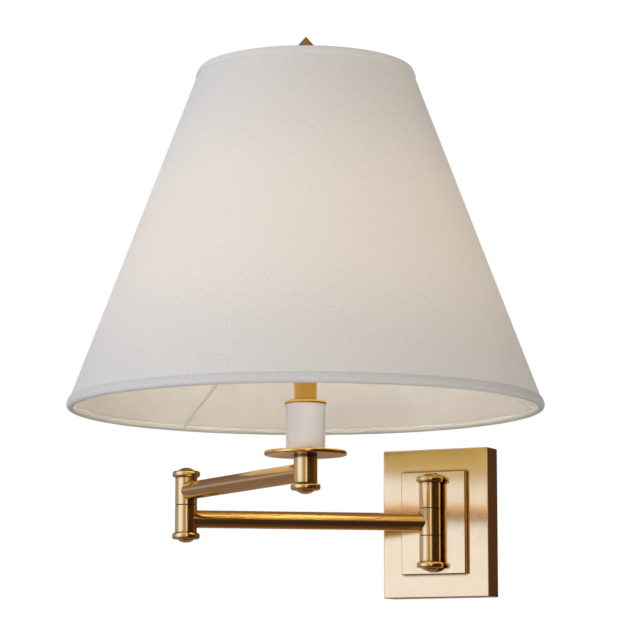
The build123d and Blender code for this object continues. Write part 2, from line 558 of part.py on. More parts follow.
def top_spider():
    """Hub clamped under the finial, with bent wires out to the shade's top hoop."""
    hoop_r, hoop_z = wall_point(SLANT - SHADE_WIRE_R, SHADE_WALL + SHADE_WIRE_R)
    low, high = SPIDER_Z - SPIDER_HUB_T / 2, SPIDER_Z + SPIDER_HUB_T / 2
    spider = rod(SPIDER_HUB_R, low, high, HEAD_AXIS)
    for angle in SPIDER_ANGLES:
        bend = polar(hoop_r - 5, angle, SPIDER_Z)
        inner = polar(SPIDER_HUB_R - 3, angle, SPIDER_Z)
        spider += bent_wire([polar(hoop_r, angle, hoop_z), bend, inner], 4.0, FITTER_WIRE_R)
    spider -= top_ring + rod(SPIDER_BORE_R, low - 2, high + 2, HEAD_AXIS)
    return spider - rod(BOSS_R + 0.4, low - 2, low, HEAD_AXIS)


def finial():
    """Pointed turned knob that clamps the shade on the harp's stud."""
    z = SPIDER_Z + SPIDER_HUB_T / 2
    outline = [(0, z), (FINIAL_FOOT_R, z), (FINIAL_FOOT_R, z + 3.5), (FINIAL_WAIST_R, z + 5.2)]
    outline += [(FINIAL_WAIST_R, z + 9), (FINIAL_BEAD_R, z + 11), (FINIAL_NECK_R, z + 14)]
    outline += [(FINIAL_R - 0.4, FINIAL_WIDE_Z - 1.8), (FINIAL_R, FINIAL_WIDE_Z)]
    outline += [(FINIAL_R - 0.6, FINIAL_WIDE_Z + 1), (0, FINIAL_TIP_Z)]
    return turned(outline, HEAD_AXIS) - rod(STUD_R, z, FINIAL_BORE_TOP, HEAD_AXIS)


parts["lower_fitter"] = lower_fitter()
parts["top_spider"] = top_spider()
parts["bottom_trim"] = trim_band(0, 1) - parts["lower_fitter"]
parts["top_trim"] = trim_band(SLANT, -1) - parts["top_spider"]
parts["finial"] = finial()

# --- Export -------------------------------------------------------------------------------------

os.makedirs("parts", exist_ok=True)
for node, shape in parts.items():
    export_step(shape, f"parts/{node}.step")
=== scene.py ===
import json
import math

import bpy
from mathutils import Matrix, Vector, noise

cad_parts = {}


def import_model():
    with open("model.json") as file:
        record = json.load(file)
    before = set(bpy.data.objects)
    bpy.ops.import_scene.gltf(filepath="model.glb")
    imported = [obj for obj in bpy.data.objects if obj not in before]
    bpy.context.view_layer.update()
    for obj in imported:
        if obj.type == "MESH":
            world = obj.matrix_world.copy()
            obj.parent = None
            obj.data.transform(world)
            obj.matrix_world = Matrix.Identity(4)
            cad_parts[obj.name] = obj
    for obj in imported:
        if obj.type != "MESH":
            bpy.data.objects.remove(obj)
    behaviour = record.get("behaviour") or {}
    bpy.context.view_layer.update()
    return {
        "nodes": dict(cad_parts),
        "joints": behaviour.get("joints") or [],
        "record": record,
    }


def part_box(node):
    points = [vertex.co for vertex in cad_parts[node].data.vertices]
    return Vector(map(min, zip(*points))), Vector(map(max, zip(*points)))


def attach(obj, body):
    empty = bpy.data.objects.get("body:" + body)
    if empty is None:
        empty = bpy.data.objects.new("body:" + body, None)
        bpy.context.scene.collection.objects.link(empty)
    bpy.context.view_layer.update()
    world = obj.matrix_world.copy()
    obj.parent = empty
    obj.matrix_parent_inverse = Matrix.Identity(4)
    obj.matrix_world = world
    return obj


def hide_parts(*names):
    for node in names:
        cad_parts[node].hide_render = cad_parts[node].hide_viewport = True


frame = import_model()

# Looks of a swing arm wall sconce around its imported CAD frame. Metres, +Z up, and the wall is the
# plane Y = 0 with the lamp standing out towards -Y.

MM = 0.001
NODES = frame["nodes"]
SLOT_OF = {part["node"]: part["material_slot"] for part in frame["record"]["subparts"]}
HEAD_AXIS = next(Vector(joint["pos_m"]) for joint in frame["joints"] if joint["name"] == "head_swivel")

# Colours are linear. Metals and cloths have a brighter and a darker tone.
BRIGHT_BRASS, DARK_BRASS = (0.94, 0.66, 0.19, 1), (0.91, 0.62, 0.165, 1)
BRIGHT_TUBE, DARK_TUBE = (0.94, 0.60, 0.165, 1), (0.91, 0.56, 0.14, 1)
# Painted shade: the stem's brass is a darker, deeper copy of the tube brass, for where it stands inside the
# shade.
BRIGHT_SHADED_STEM, DARK_SHADED_STEM = (0.84, 0.50, 0.12, 1), (0.76, 0.44, 0.10, 1)
BRIGHT_HARP = (0.86, 0.67, 0.40, 1)
# Painted shade: the brass turns to this brown in crevices and where other parts lie close.
CREVICE_SHADE_BROWN = (0.14, 0.055, 0.02, 1)
LINEN_LIGHT, LINEN_DARK = (0.86, 0.85, 0.83, 1), (0.66, 0.65, 0.63, 1)
TRIM_LIGHT, TRIM_DARK = (0.85, 0.84, 0.81, 1), (0.665, 0.655, 0.63, 1)
# Painted light: the top binding's colours are darker than the bottom's and lie under a painted glow.
TOP_TRIM_LIGHT, TOP_TRIM_DARK = (0.78, 0.77, 0.76, 1), (0.61, 0.60, 0.59, 1)
LINER_LIGHT, LINER_DARK = (0.845, 0.815, 0.765, 1), (0.755, 0.725, 0.675, 1)
GLASS_LIGHT, GLASS_DARK = (1, 1, 0.97, 1), (0.92, 0.90, 0.86, 1)
BULB_LIGHT, BULB_GLOW = (1.0, 0.95, 0.87, 1), 22.2
# Painted lamplight: a warm tint for the turned-in side of a binding, inside the shade.
TURNED_IN_LAMPLIGHT_TINT = (0.88, 0.86, 0.79)

# Lamp light in the cloth: its colours, and the heights where it starts, peaks and ends.
GLOW_DIM, GLOW_BRIGHT = (0.155, 0.140, 0.114, 1), (0.30, 0.237, 0.174, 1)
GLOW_LOW, GLOW_MIDDLE, GLOW_HIGH = 0.06, 0.185, 0.33

# Weave, as the distance between threads and how far they wander from straight.
THREAD_PITCH, THREAD_WANDER = 1.1 * MM, 1.4 * MM
NOISE_SPAN = (0.3, 0.7)
CLOUD_SPAN = (0.35, 0.7)


# --- Shader helpers -------------------------------------------------------------------------

def add_node(tree, kind, inputs=None, **props):
    """New node in tree. inputs maps a socket's name or index to a value or to another node's output."""
    node = tree.nodes.new(kind)
    for name, value in props.items():
        setattr(node, name, value)
    for key, value in (inputs or {}).items():
        socket = node.inputs[key]
        if isinstance(value, bpy.types.NodeSocket):
            tree.links.new(value, socket)
        else:
            socket.default_value = value
    return node


def new_material(name, **values):
    """Material with one Principled shader. values are its plain socket values, spaces as underscores."""
    mat = bpy.data.materials.new(name)
    mat.use_nodes = True
    shader = mat.node_tree.nodes["Principled BSDF"]
    for key, value in values.items():
        shader.inputs[key.replace("_", " ")].default_value = value
    return mat, mat.node_tree, shader


def math_node(tree, operation, a, b=0.0):
    return add_node(tree, "ShaderNodeMath", {0: a, 1: b}, operation=operation).outputs[0]


def vector_math(tree, operation, *values):
    return add_node(tree, "ShaderNodeVectorMath", dict(enumerate(values)), operation=operation).outputs[0]


def noise_node(tree, vector, scale, detail=2.0, roughness=0.5, output="Fac"):
    inputs = {"Vector": vector, "Scale": scale, "Detail": detail, "Roughness": roughness}
    return add_node(tree, "ShaderNodeTexNoise", inputs).outputs[output]


def remap(tree, value, low, high, to_low=0.0, to_high=1.0, **props):
    inputs = {"Value": value, "From Min": low, "From Max": high, "To Min": to_low, "To Max": to_high}
    return add_node(tree, "ShaderNodeMapRange", inputs, **props).outputs["Result"]


def mix_colour(tree, factor, first, second):
    inputs = {0: factor, 6: first, 7: second}
    return add_node(tree, "ShaderNodeMix", inputs, data_type="RGBA").outputs[2]


def bump(tree, shader, height, distance, strength=1.0):
    node = add_node(tree, "ShaderNodeBump", {"Height": height, "Distance": distance, "Strength": strength})
    tree.links.new(node.outputs[0], shader.inputs["Normal"])


def object_coords(tree):
    return add_node(tree, "ShaderNodeTexCoord").outputs["Object"]


def flat_coords(tree):
    """Place in the piece's flat pattern, in metres."""
    return add_node(tree, "ShaderNodeUVMap").outputs[0]


def point_value(tree, name):
    """Value that the mesh stores at its points under this name, or 0 where it stores none."""
    return add_node(tree, "ShaderNodeAttribute", attribute_name=name).outputs["Fac"]


def let_light_through(mat, tree, shader, colour, share):
    glow = add_node(tree, "ShaderNodeBsdfTranslucent", {"Color": colour})
    both = add_node(tree, "ShaderNodeMixShader", {0: share, 1: shader.outputs[0], 2: glow.outputs[0]})
    tree.links.new(both.outputs[0], tree.nodes["Material Output"].inputs["Surface"])


# --- Materials ------------------------------------------------------------------------------

def brass(name, bright, dark, roughness, grain):
    """Polished brass, lightly patinated in soft random patches, and browned by painted shade in its
    crevices and where other parts lie close.

    grain is the frequency of the brush lines along each axis, per metre.
    """
    mat, tree, shader = new_material(name, Metallic=1.0)
    coords = object_coords(tree)
    patina = noise_node(tree, coords, scale=55.0, detail=4.0, roughness=0.55)
    along_grain = vector_math(tree, "MULTIPLY", coords, grain)
    lines = noise_node(tree, along_grain, scale=1.0, detail=3.0, roughness=0.6)
    spots = noise_node(tree, coords, scale=420.0, detail=3.0, roughness=0.6)
    tint = mix_colour(tree, remap(tree, patina, 0.35, 0.75), bright, dark)
    # Painted shade: ambient occlusion within 3 mm mixes the brass towards brown.
    openness = add_node(tree, "ShaderNodeAmbientOcclusion", {"Distance": 3 * MM}, samples=6).outputs["AO"]
    crevice_shaded = mix_colour(tree, remap(tree, openness, 0.50, 0.88), CREVICE_SHADE_BROWN, tint)
    tree.links.new(crevice_shaded, shader.inputs["Base Color"])
    line_part = remap(tree, lines, *NOISE_SPAN, -0.02, 0.03)
    spot_part = remap(tree, spots, 0.3, 0.8, -0.01, 0.02)
    uneven = math_node(tree, "ADD", line_part, spot_part)
    tree.links.new(math_node(tree, "ADD", uneven, roughness), shader.inputs["Roughness"])
    bump(tree, shader, lines, distance=0.001 * MM)
    return mat


def clouded(tree, shader, coords, colour, scale, detail, darkest):
    """Base colour that fades in soft patches to a darker share of itself."""
    cloud = noise_node(tree, coords, scale, detail)
    darker = tuple(darkest * c for c in colour[:3]) + (1.0,)
    patches = mix_colour(tree, remap(tree, cloud, *CLOUD_SPAN), colour, darker)
    tree.links.new(patches, shader.inputs["Base Color"])


def plain_metal(name, colour, roughness):
    """Machined or plated metal with faint tool marks."""
    mat, tree, shader = new_material(name, Metallic=1.0)
    coords = object_coords(tree)
    marks = noise_node(tree, vector_math(tree, "MULTIPLY", coords, (300, 300, 5000)), scale=1.0)
    clouded(tree, shader, coords, colour, scale=160.0, detail=4.0, darkest=0.72)
    uneven = remap(tree, marks, *NOISE_SPAN, roughness - 0.05, roughness + 0.08)
    tree.links.new(uneven, shader.inputs["Roughness"])
    bump(tree, shader, marks, distance=0.008 * MM)
    return mat


def moulded(name, colour, roughness, grain=900.0):
    """Moulded or painted surface with a fine orange-peel grain."""
    mat, tree, shader = new_material(name)
    coords = object_coords(tree)
    peel = noise_node(tree, coords, scale=grain)
    clouded(tree, shader, coords, colour, scale=70.0, detail=3.0, darkest=0.97)
    uneven = remap(tree, peel, *NOISE_SPAN, roughness - 0.04, roughness + 0.05)
    tree.links.new(uneven, shader.inputs["Roughness"])
    bump(tree, shader, peel, distance=0.01 * MM)
    return mat


def lamp_glow(tree, tone):
    """Warm light of the bulb in the cloth: strongest at the bulb's height, more through its open places
    and half as strong where the cloth is doubled."""
    height = add_node(tree, "ShaderNodeSeparateXYZ", {0: object_coords(tree)}).outputs["Z"]
    rise = remap(tree, height, GLOW_LOW, GLOW_MIDDLE, interpolation_type="SMOOTHERSTEP")
    fall = remap(tree, height, GLOW_HIGH, GLOW_MIDDLE, interpolation_type="SMOOTHERSTEP")
    level = math_node(tree, "MULTIPLY", rise, fall)
    level = math_node(tree, "MULTIPLY", level, remap(tree, tone, 0.0, 1.0, 0.85, 1.1))
    glow = mix_colour(tree, level, GLOW_DIM, GLOW_BRIGHT)
    shaded = math_node(tree, "MULTIPLY", point_value(tree, "doubled"), 0.5)
    return mix_colour(tree, shaded, glow, (0, 0, 0, 1))


def woven(name, light, dark, see_through=0.0, lit=False):
    """Plain weave cloth with uneven threads and painted warm lamplight where a strip is turned in. With
    lit, it also takes the painted glow of the bulb's light.
    """
    mat, tree, shader = new_material(name, Roughness=0.92, Specular_IOR_Level=0.18, Sheen_Weight=0.15)
    flat = flat_coords(tree)
    wander = noise_node(tree, flat, scale=160.0, output="Color")
    centred = vector_math(tree, "SUBTRACT", wander, (0.5, 0.5, 0.5))
    moved = vector_math(tree, "MULTIPLY_ADD", centred, (THREAD_WANDER,) * 3, flat)
    split = add_node(tree, "ShaderNodeSeparateXYZ", {0: moved})
    turns = 2 * math.pi / THREAD_PITCH
    warp = math_node(tree, "SINE", math_node(tree, "MULTIPLY", split.outputs["X"], turns))
    weft = math_node(tree, "SINE", math_node(tree, "MULTIPLY", split.outputs["Y"], turns))
    over = math_node(tree, "MULTIPLY", warp, weft)
    slub_warp = noise_node(tree, vector_math(tree, "MULTIPLY", flat, (1300, 150, 1)), scale=1.0)
    slub_weft = noise_node(tree, vector_math(tree, "MULTIPLY", flat, (150, 1300, 1)), scale=1.0)
    slubs = math_node(tree, "ADD", slub_warp, slub_weft)
    fibre = noise_node(tree, flat, scale=950.0, detail=1.0)
    tone = remap(tree, over, -1, 1, 0.0, 0.14)
    tone = math_node(tree, "ADD", tone, remap(tree, slubs, 0.7, 1.3, 0.0, 0.26))
    tone = math_node(tree, "ADD", tone, remap(tree, fibre, *NOISE_SPAN, 0.0, 0.6))
    colour = mix_colour(tree, tone, dark, light)
    # Painted light: the turned-in part of a binding takes a warm tint for the lamp's light inside the
    # shade.
    lamplit_colour = vector_math(tree, "MULTIPLY", colour, TURNED_IN_LAMPLIGHT_TINT)
    colour = mix_colour(tree, point_value(tree, "turned_in"), colour, lamplit_colour)
    tree.links.new(colour, shader.inputs["Base Color"])
    loose = math_node(tree, "MULTIPLY", math_node(tree, "ADD", slubs, fibre), 1.2)
    bump(tree, shader, math_node(tree, "ADD", over, loose), distance=0.05 * MM, strength=0.6)
    if lit:
        tree.links.new(lamp_glow(tree, tone), shader.inputs["Emission Color"])
        shader.inputs["Emission Strength"].default_value = 1.0
    if see_through:
        let_light_through(mat, tree, shader, colour, see_through)
    return mat


def liner_material():
    """Smooth cream backing sheet with a faint laid texture, which lets lamp light through."""
    mat, tree, shader = new_material("liner_cream", Roughness=0.6, Specular_IOR_Level=0.3)
    flat = flat_coords(tree)
    speck = noise_node(tree, flat, scale=1400.0)
    cloud = noise_node(tree, flat, scale=45.0, detail=3.0)
    tone = remap(tree, speck, *NOISE_SPAN, 0.0, 0.5)
    tone = math_node(tree, "ADD", tone, remap(tree, cloud, *NOISE_SPAN, 0.0, 0.5))
    colour = mix_colour(tree, tone, LINER_DARK, LINER_LIGHT)
    tree.links.new(colour, shader.inputs["Base Color"])
    bump(tree, shader, speck, distance=0.02 * MM, strength=0.5)
    let_light_through(mat, tree, shader, colour, 0.3)
    return mat


def bulb_material():
    """Frosted glass envelope, lit."""
    mat, tree, shader = new_material(
        "bulb_frosted", Roughness=0.45, Emission_Strength=BULB_GLOW, Emission_Color=BULB_LIGHT
    )
    frost = noise_node(tree, object_coords(tree), scale=1500.0)
    tree.links.new(mix_colour(tree, frost, GLASS_DARK, GLASS_LIGHT), shader.inputs["Base Color"])
    bump(tree, shader, frost, distance=0.01 * MM, strength=0.4)
    return mat


MATERIALS = {
    "brass_plate": brass("brass_plate", BRIGHT_BRASS, DARK_BRASS, 0.12, (90, 2200, 2200)),
    "brass_tube": brass("brass_tube", BRIGHT_TUBE, DARK_TUBE, 0.15, (8, 8, 2600)),
    "brass_hinge": brass("brass_hinge", BRIGHT_BRASS, DARK_BRASS, 0.15, (60, 60, 2600)),
    "pin_steel": plain_metal("pin_steel", (0.55, 0.53, 0.50, 1), 0.3),
    "bushing_bronze": plain_metal("bushing_bronze", (0.50, 0.31, 0.15, 1), 0.35),
    "washer_plastic": moulded("washer_black", (0.03, 0.028, 0.025, 1), 0.5),
    "zinc_steel": plain_metal("zinc_steel", (0.62, 0.63, 0.63, 1), 0.38),
    "ground_green": moulded("ground_green", (0.04, 0.28, 0.09, 1), 0.4),
    "wire_insulation": moulded("wire_sleeve", (0.62, 0.58, 0.50, 1), 0.5),
    "candle_white": moulded("candle_white", (0.75, 0.745, 0.755, 1), 0.42, 500.0),
    "harp_brass": brass("harp_brass", BRIGHT_HARP, DARK_BRASS, 0.2, (900, 900, 900)),
    "socket_metal": plain_metal("socket_metal", (0.80, 0.62, 0.36, 1), 0.28),
    "socket_insulation": moulded("socket_phenolic", (0.03, 0.027, 0.025, 1), 0.4),
    "bulb_metal": plain_metal("bulb_metal", (0.74, 0.74, 0.73, 1), 0.25),
    "bulb_glass": bulb_material(),
    "white_wire": moulded("white_wire", (0.82, 0.80, 0.75, 1), 0.35),
    "shade_fabric": woven("shade_linen", LINEN_LIGHT, LINEN_DARK, see_through=0.15, lit=True),
    "shade_lining": liner_material(),
}
BINDING = woven("binding_linen", TRIM_LIGHT, TRIM_DARK)
# Painted light: the top binding glows with the cloth's painted lamp light, which stands in for light
# falling on it.
GLOWING_TOP_BINDING = woven("top_binding_linen_glowing", TOP_TRIM_LIGHT, TOP_TRIM_DARK, lit=True)
# Painted shade: a darker copy of the tube brass for the stem inside the shade.
SHADED_STEM_BRASS = brass("stem_brass_shaded", BRIGHT_SHADED_STEM, DARK_SHADED_STEM, 0.15, (8, 2600, 8))

for node_name, part in NODES.items():
    part.data.materials.clear()
    part.data.materials.append(SHADED_STEM_BRASS if node_name == "stem_tube" else MATERIALS[SLOT_OF[node_name]])


# --- Mesh helpers ---------------------------------------------------------------------------

LATHE_SIDES = 96


def mesh_object(name, verts, faces, uvs=None, smooth=True):
    """New mesh object. uvs is one (u, v) for each vertex."""
    mesh = bpy.data.meshes.new(name)
    mesh.from_pydata(verts, [], faces)
    if uvs:
        layer = mesh.uv_layers.new(name="flat_pattern")
        for loop in mesh.loops:
            layer.data[loop.index].uv = uvs[loop.vertex_index]
    mesh.polygons.foreach_set("use_smooth", [smooth] * len(mesh.polygons))
    mesh.update()
    obj = bpy.data.objects.new(name, mesh)
    bpy.context.scene.collection.objects.link(obj)
    return obj


def store_point_values(obj, name, values):
    obj.data.attributes.new(name, "FLOAT", "POINT").data.foreach_set("value", values)


def finish_piece(obj, material, body, slot, *nodes):
    obj.data.materials.append(material)
    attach(obj, body)
    if nodes:
        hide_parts(*nodes)
    return obj


def sharpen(obj, degrees=32.0):
    """Marks the edges that bend more than this as sharp, so that flat faces look flat."""
    mesh = obj.data
    edge_faces = {}
    for face in mesh.polygons:
        for key in face.edge_keys:
            edge_faces.setdefault(key, []).append(face.normal)
    limit = math.cos(math.radians(degrees))
    sharp = mesh.attributes.new("sharp_edge", "BOOLEAN", "EDGE")
    for edge in mesh.edges:
        normals = edge_faces.get(edge.key, [])
        if len(normals) == 2 and normals[0].dot(normals[1]) < limit:
            sharp.data[edge.index].value = True


def lathe(name, outline, centre):
    """Closed solid of revolution. outline runs from one end on the axis to the other as (radius, z)."""
    verts, faces, rings = [], [], []
    for radius, z in outline:
        if radius < 1e-7:
            rings.append([len(verts)])
            verts.append((centre.x, centre.y, z))
            continue
        ring = []
        for i in range(LATHE_SIDES):
            angle = 2 * math.pi * i / LATHE_SIDES
            ring.append(len(verts))
            verts.append((centre.x + radius * math.cos(angle), centre.y + radius * math.sin(angle), z))
        rings.append(ring)
    for low, high in zip(rings, rings[1:]):
        for i in range(LATHE_SIDES):
            j = (i + 1) % LATHE_SIDES
            if len(low) == 1:
                faces.append((low[0], high[j], high[i]))
            elif len(high) == 1:
                faces.append((low[i], low[j], high[0]))
            else:
                faces.append((low[i], low[j], high[j], high[i]))
    return mesh_object(name, verts, faces)


def on_circle(centre, radius, degrees):
    """(radius, z) of a point on a circle in an outline, as an angle from the outward direction."""
    angle = math.radians(degrees)
    return centre[0] + radius * math.cos(angle), centre[1] + radius * math.sin(angle)


def arc(centre, radius, start, end, steps):
    return [on_circle(centre, radius, start + (end - start) * i / steps) for i in range(steps + 1)]


# --- Shade ----------------------------------------------------------------------------------

# The cloth's lower edge is cut square to the slant, so its inner side hangs lower by CUT_DROP.
CUT_DROP = 0.19 * MM
SHADE_LOW, SHADE_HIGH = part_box("shade_fabric")
BOTTOM_R, TOP_R = (SHADE_HIGH.x - SHADE_LOW.x) / 2, 79.3 * MM
BOTTOM_Z, TOP_Z = SHADE_LOW.z + CUT_DROP, SHADE_HIGH.z
SLANT = math.hypot(BOTTOM_R - TOP_R, TOP_Z - BOTTOM_Z)
TILT = math.atan2(BOTTOM_R - TOP_R, TOP_Z - BOTTOM_Z)
APEX = BOTTOM_R / math.sin(TILT)

CLOTH_T, CLOTH_SHARE_IN, CLOTH_EDGE_GAP = 0.45 * MM, 0.55, 1.0 * MM
CLOTH_AROUND, CLOTH_UP = 384, 96
CLOTH_RIPPLE, RIPPLE_AROUND, RIPPLE_UP = 0.06 * MM, 6, 18
SEAM_ANGLE, SEAM_LAP = math.radians(112), 9.0 * MM
LAP_RISE_SHARE, LAP_HEIGHT_SHARE = 0.35, 0.9

LINER_IN, LINER_T, LINER_CLEAR, LINER_EDGE_GAP = 0.5 * MM, 1.0 * MM, 0.15 * MM, 0.6 * MM
LINER_AROUND, LINER_UP = 320, 40

HOOP_R = 1.5 * MM
BAND, TURN_IN, HEM_T = 6.0 * MM, 4.6 * MM, 0.7 * MM
BAND_PROUD, BAND_SWELL = 0.30 * MM, 0.10 * MM
BOTTOM_FOLD_DROP, TOP_FOLD_DROP = 0.10 * MM, 0.70 * MM
BINDING_AROUND, BINDING_RIPPLE, BINDING_WAVES, BINDING_CREEP = 360, 0.10 * MM, 22, 0.25
BOTTOM_SEED, TOP_SEED = 0.0, 9.0
BAND_STEPS, FOLD_STEPS, TURN_IN_STEPS = 8, 13, 4


def wall_point(along, inward):
    """(radius, z) at a distance up the slant and inward from the cloth's outer face."""
    radius = BOTTOM_R - along * math.sin(TILT) - inward * math.cos(TILT)
    return radius, BOTTOM_Z + along * math.cos(TILT) - inward * math.sin(TILT)


def cone_point(along, inward, angle):
    radius, z = wall_point(along, inward)
    return (HEAD_AXIS.x + radius * math.cos(angle), HEAD_AXIS.y + radius * math.sin(angle), z)


def flat_place(along, angle):
    """Place of a point of the cone in its flat pattern, in metres."""
    reach = APEX - along
    turn = angle * math.sin(TILT)
    return reach * math.sin(turn), reach * math.cos(turn)


def shade_cloth():
    """One sheet of cloth stretched round the cone, with its last strip lapped over its first."""
    lap = SEAM_LAP / BOTTOM_R
    whole = 2 * math.pi + lap
    rise = LAP_RISE_SHARE * lap
    low, high = CLOTH_EDGE_GAP, SLANT - CLOTH_EDGE_GAP
    verts, uvs, faces, doubled = [], [], [], []
    for i in range(CLOTH_AROUND + 1):
        turned = i / CLOTH_AROUND * whole
        angle = SEAM_ANGLE + turned
        past = max(0.0, turned - 2 * math.pi + rise)
        lift = min(1.0, past / rise) * CLOTH_T
        for j in range(CLOTH_UP + 1):
            along = low + (high - low) * j / CLOTH_UP
            place = (math.cos(angle) * RIPPLE_AROUND, math.sin(angle) * RIPPLE_AROUND, along * RIPPLE_UP)
            ripple = CLOTH_RIPPLE * noise.noise(Vector(place))
            inward = CLOTH_T * CLOTH_SHARE_IN - lift * LAP_HEIGHT_SHARE + ripple
            verts.append(cone_point(along, inward, angle))
            uvs.append(flat_place(along, angle - SEAM_ANGLE - math.pi))
            doubled.append(1.0 if past > 0.0 else 0.0)
    for i in range(CLOTH_AROUND):
        for j in range(CLOTH_UP):
            a = i * (CLOTH_UP + 1) + j
            faces.append((a, a + CLOTH_UP + 1, a + CLOTH_UP + 2, a + 1))
    sheet = mesh_object("shade_cloth", verts, faces, uvs)
    store_point_values(sheet, "doubled", doubled)
    return sheet


def revolve_section(name, section, segments, ripple=0.0, seed=0.0):
    """Sweeps a closed (along, inward) section round the shade. UVs hold metres round and across."""
    verts, uvs, faces = [], [], []
    count = len(section)
    lengths = [0.0]
    for first, second in zip(section, section[1:]):
        lengths.append(lengths[-1] + math.dist(first, second))
    for i in range(segments):
        angle = 2 * math.pi * i / segments
        for k, (along, inward) in enumerate(section):
            across = k * BINDING_CREEP + seed
            place = (math.cos(angle) * BINDING_WAVES, math.sin(angle) * BINDING_WAVES, across)
            shift = ripple * noise.noise(Vector(place)) if ripple else 0.0
            verts.append(cone_point(along + shift, inward + shift, angle))
            uvs.append((angle * BOTTOM_R, lengths[k]))
    for i in range(segments):
        j = (i + 1) % segments
        for k in range(count):
            m = (k + 1) % count
            faces.append((i * count + k, i * count + m, j * count + m, j * count + k))
    return mesh_object(name, verts, faces, uvs)


def strip_section(path, thickness):
    """Closed outline of a strip of cloth that follows path, with rounded ends."""
    half = thickness / 2
    points = [Vector(p) for p in path]
    sides = []
    for i, point in enumerate(points):
        before = points[max(i - 1, 0)]
        after = points[min(i + 1, len(points) - 1)]
        run = (after - before).normalized()
        sides.append(Vector((-run.y, run.x)) * half)
    first = (points[0] - points[1]).normalized() * half
    last = (points[-1] - points[-2]).normalized() * half
    outline = [p + s for p, s in zip(points, sides)]
    outline.append(points[-1] + last)
    outline += [p - s for p, s in reversed(list(zip(points, sides)))]
    outline.append(points[0] + first)
    return [tuple(p) for p in outline]


def binding(name, edge, direction, seed, drop):
    """Self-fabric strip folded over one edge of the shade and the wire hoop inside it.

    drop is how far the fold's middle line lies past the edge.
    """
    depth = LINER_IN + LINER_T + 2 * HOOP_R
    middle = (depth - CLOTH_T * 0.2) / 2
    bend = middle + 0.25 * MM
    path = []
    for i in range(BAND_STEPS + 1):
        share = i / BAND_STEPS
        path.append((BAND - (BAND - bend) * share, -BAND_PROUD - BAND_SWELL * math.sin(math.pi * share)))
    for i in range(1, FOLD_STEPS):
        turn = math.pi * i / FOLD_STEPS
        path.append((bend - drop - bend * math.sin(turn), middle - (bend + 0.05 * MM) * math.cos(turn)))
    for i in range(TURN_IN_STEPS + 1):
        path.append((bend + (TURN_IN - bend) * i / TURN_IN_STEPS, 2 * middle + 0.4 * MM))
    placed = [(edge + direction * along, inward) for along, inward in strip_section(path, HEM_T)]
    strip = revolve_section(name, placed, BINDING_AROUND, BINDING_RIPPLE, seed)
    turned_in = [1.0 if inward > middle else 0.0 for _, inward in placed]
    store_point_values(strip, "turned_in", turned_in * BINDING_AROUND)
    return strip


def shade_liner():
    """Stiff cream lining sheet behind the cloth."""
    low, high = LINER_EDGE_GAP, SLANT - LINER_EDGE_GAP
    near, far = LINER_IN + LINER_CLEAR, LINER_IN + LINER_T
    outer = [(low + (high - low) * i / LINER_UP, near) for i in range(LINER_UP + 1)]
    inner = [(along, far) for along, _ in reversed(outer)]
    return revolve_section("shade_liner", outer + inner, LINER_AROUND)


cloth = finish_piece(shade_cloth(), MATERIALS["shade_fabric"], "lamp_head", "shade_fabric", "shade_fabric")
liner = finish_piece(shade_liner(), MATERIALS["shade_lining"], "lamp_head", "shade_lining", "shade_lining")
sharpen(liner)
bottom_binding = finish_piece(
    binding("bottom_binding", 0.0, 1, BOTTOM_SEED, BOTTOM_FOLD_DROP), BINDING,
    "lamp_head", "shade_fabric", "bottom_trim",
)
top_binding = finish_piece(
    binding("top_binding", SLANT, -1, TOP_SEED, TOP_FOLD_DROP), GLOWING_TOP_BINDING,
    "lamp_head", "shade_fabric", "top_trim",
)

# --- Bulb and finial --------------------------------------------------------------------------

# The bulb is a 60 mm ball on a neck, 92 mm long in all. NECK_JOIN is the angle below the ball's middle
# where the neck's curve arrives, and NECK_PULL is how strongly the curve keeps its end directions.
BULB_LOW, BULB_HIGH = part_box("bulb_glass")
BALL_R = (BULB_HIGH.z - BULB_LOW.z) / 92.0 * 30.0
NECK_R, NECK_STRAIGHT, NECK_PULL, NECK_JOIN = 13.2 * MM, 8 * MM, 19 * MM, 42
NECK_STEPS = 16

# Outline of the finial in mm: its foot and waist, then its flare, by height above its foot.
FINIAL_FOOT = [
    (0.0, 0.0), (5.0, 0.0), (5.2, 0.3), (5.2, 3.2), (4.9, 3.6), (3.9, 5.2), (3.75, 7.0), (3.9, 9.0),
]
FINIAL_FLARE = [(4.6, 13.2), (5.0, 15.0), (5.9, 18.5), (6.9, 22.0)]
BEAD_AT, BEAD_R = (4.6, 11.0), 1.6 * MM
CAP_EDGE_R, CAP_DEPTH, CAP_FLARE_DEPTH, CAP_FLARE_R = 1.1 * MM, 9.8 * MM, 11.2 * MM, 7.7 * MM


def bulb_envelope():
    """Globe with a long smooth neck."""
    ball = (0.0, BULB_HIGH.z - BALL_R)
    outline = [(0.0, BULB_LOW.z), (NECK_R * 0.9, BULB_LOW.z), (NECK_R, BULB_LOW.z + 1.0 * MM)]
    start = Vector((NECK_R, BULB_LOW.z + NECK_STRAIGHT))
    end = Vector(on_circle(ball, BALL_R, -NECK_JOIN))
    leave = start + Vector((0, NECK_PULL))
    slope = math.radians(NECK_JOIN)
    arrive = end - Vector((math.sin(slope), math.cos(slope))) * NECK_PULL
    for i in range(NECK_STEPS + 1):
        t = i / NECK_STEPS
        near_start = (1 - t) ** 3 * start + 3 * t * (1 - t) ** 2 * leave
        outline.append(tuple(near_start + 3 * t * t * (1 - t) * arrive + t ** 3 * end))
    outline += arc(ball, BALL_R, 4 - NECK_JOIN, 86, 40)
    outline.append((0.0, BULB_HIGH.z))
    return lathe("bulb_envelope", outline, HEAD_AXIS)


